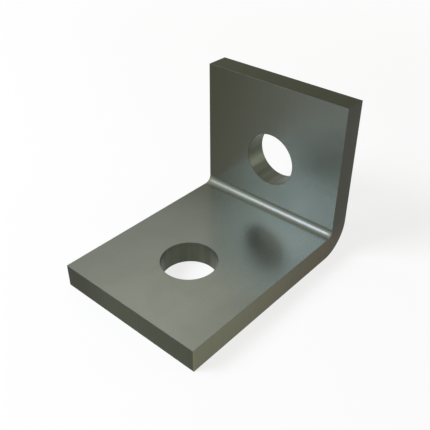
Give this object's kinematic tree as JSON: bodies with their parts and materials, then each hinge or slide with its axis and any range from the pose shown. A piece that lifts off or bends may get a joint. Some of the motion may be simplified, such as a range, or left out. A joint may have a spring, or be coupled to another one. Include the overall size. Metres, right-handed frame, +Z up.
{
  "type": "strut angle fitting",
  "caption": "Flat steel plate folded through a right angle, with a round bolt hole in each leg, for joining strut channel square.",
  "frame": {"origin": "on the axis of the base leg's bolt hole, in the underside of that leg", "axes": "+Z up along the base hole, +Y from the free end of the base leg to the upright leg and out through its back, +X across the plate's width"},
  "size_m": [0.041, 0.057, 0.041],
  "materials": {
    "steel": "satin plain steel with a faint rolled grain"
  },
  "bodies": {
    "root": {"angle_fitting": "steel"}
  },
  "joints": []
}
